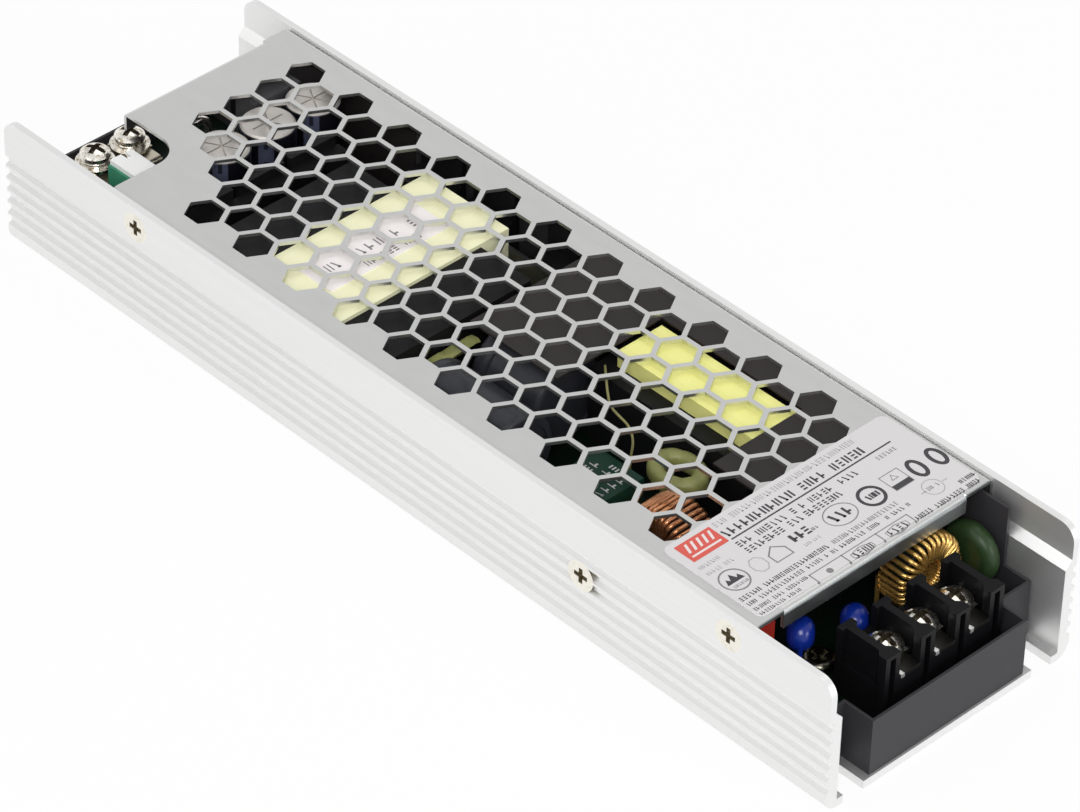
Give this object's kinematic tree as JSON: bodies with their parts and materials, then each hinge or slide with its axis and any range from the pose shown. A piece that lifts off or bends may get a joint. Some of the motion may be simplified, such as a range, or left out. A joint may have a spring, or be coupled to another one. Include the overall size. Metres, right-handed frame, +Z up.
{
  "type": "power supply",
  "caption": "Slim switching power supply: board and parts in a grooved aluminium channel under a cover with hexagonal vents, with screw terminals at both ends.",
  "frame": {"origin": "middle of the footprint, on the plane the channel stands on", "axes": "+X along the case towards the mains input terminal, +Y across towards the case's far wall as pictured, +Z up through the vented cover"},
  "size_m": [0.194, 0.055, 0.026],
  "materials": {
    "case_aluminium": "satin, clear anodised",
    "cover_metal": "satin",
    "label_film": "matt printed film",
    "screw_nickel": "nickel plated",
    "black_film": "semi gloss folded film",
    "grey_film": "matt",
    "board": "solder resist",
    "board_hardware": "plated",
    "terminal_plastic": "moulded, fine grain",
    "contact_metal": "tin plated",
    "fuse_body": "moulded cap",
    "red_box": "gloss",
    "blue_disc": "gloss dipped",
    "olive_disc": "gloss dipped",
    "core_coat": "coated",
    "gold_wire": "enamelled wire",
    "copper_wire": "enamelled wire",
    "film_cap": "gloss",
    "black_moulding": "matt moulding",
    "ferrite": "matt ferrite",
    "yellow_tape": "tape",
    "pale_tape": "tape",
    "grey_sleeve": "shrink sleeve",
    "adhesive": "soft glue",
    "spring_steel": "bright",
    "white_label": "paper",
    "sink_aluminium": "black anodised",
    "filter_block": "matt",
    "can_top": "satin",
    "black_sleeve": "shrink sleeve",
    "busbar_metal": "tin plated",
    "small_board": "solder resist",
    "white_plastic": "moulded",
    "pad": "soft pad"
  },
  "bodies": {
    "root": {"base_channel": "case_aluminium", "top_cover": "cover_metal", "rating_label": "label_film", "cover_screws": "screw_nickel", "bridge_clamp_screw": "screw_nickel", "bridge_clamp_nut": "screw_nickel", "insulator_tray": "black_film", "insulator_sheet": "grey_film", "circuit_board": "board", "board_studs": "board_hardware", "board_screws": "board_hardware", "input_terminal_block": "terminal_plastic", "input_contact_plates": "contact_metal", "input_terminal_screws": "screw_nickel", "input_fuse": "fuse_body", "line_filter_capacitor": "red_box", "safety_capacitors": "blue_disc", "surge_varistor": "olive_disc", "line_choke_core": "core_coat", "line_choke_winding": "gold_wire", "filter_choke_core": "core_coat", "filter_choke_winding": "copper_wire", "film_capacitor": "film_cap", "bridge_rectifier": "black_moulding", "boost_choke_core": "ferrite", "boost_choke_winding": "yellow_tape", "bulk_capacitors": "grey_sleeve", "capacitor_adhesive": "adhesive", "power_transistors": "black_moulding", "transistor_clips": "spring_steel", "transformer_core": "ferrite", "transformer_winding": "pale_tape", "transformer_label": "white_label", "rectifier_heatsink": "sink_aluminium", "rectifier_transistors": "black_moulding", "output_choke": "filter_block", "output_capacitor_cans": "can_top", "output_capacitor_sleeves": "black_sleeve", "output_busbars": "busbar_metal", "output_terminals": "busbar_metal", "output_flat_washers": "contact_metal", "output_spring_washers": "spring_steel", "output_terminal_screws": "screw_nickel", "sense_board": "small_board", "sense_connector": "white_plastic", "optocouplers": "white_plastic", "control_chips": "black_moulding", "thermal_pad": "pad"}
  },
  "joints": []
}
